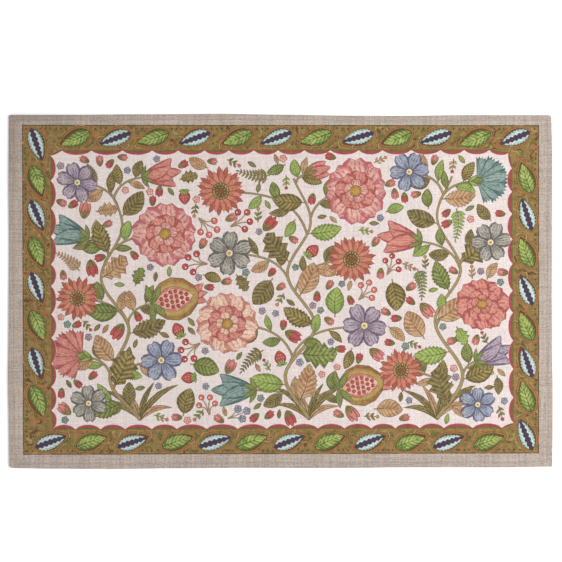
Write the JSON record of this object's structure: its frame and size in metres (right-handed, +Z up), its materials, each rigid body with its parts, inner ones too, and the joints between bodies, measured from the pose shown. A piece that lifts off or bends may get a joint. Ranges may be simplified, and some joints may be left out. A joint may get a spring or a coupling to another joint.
{
  "type": "placemat",
  "caption": "Flat rectangular table mat of printed linen, with a flower print, a scalloped leaf border and a plain linen edge turned under as a stitched hem.",
  "frame": {"origin": "centre of the underside, on the surface that the mat lies on", "axes": "+X along the long side, to the right of the person at the table; +Y towards the edge furthest from them; +Z up, out of the printed front"},
  "size_m": [0.5093, 0.3318, 0.0019],
  "materials": {
    "printed_linen": "matt plain weave, printed on the front"
  },
  "bodies": {
    "root": {"mat": "printed_linen"}
  },
  "joints": []
}
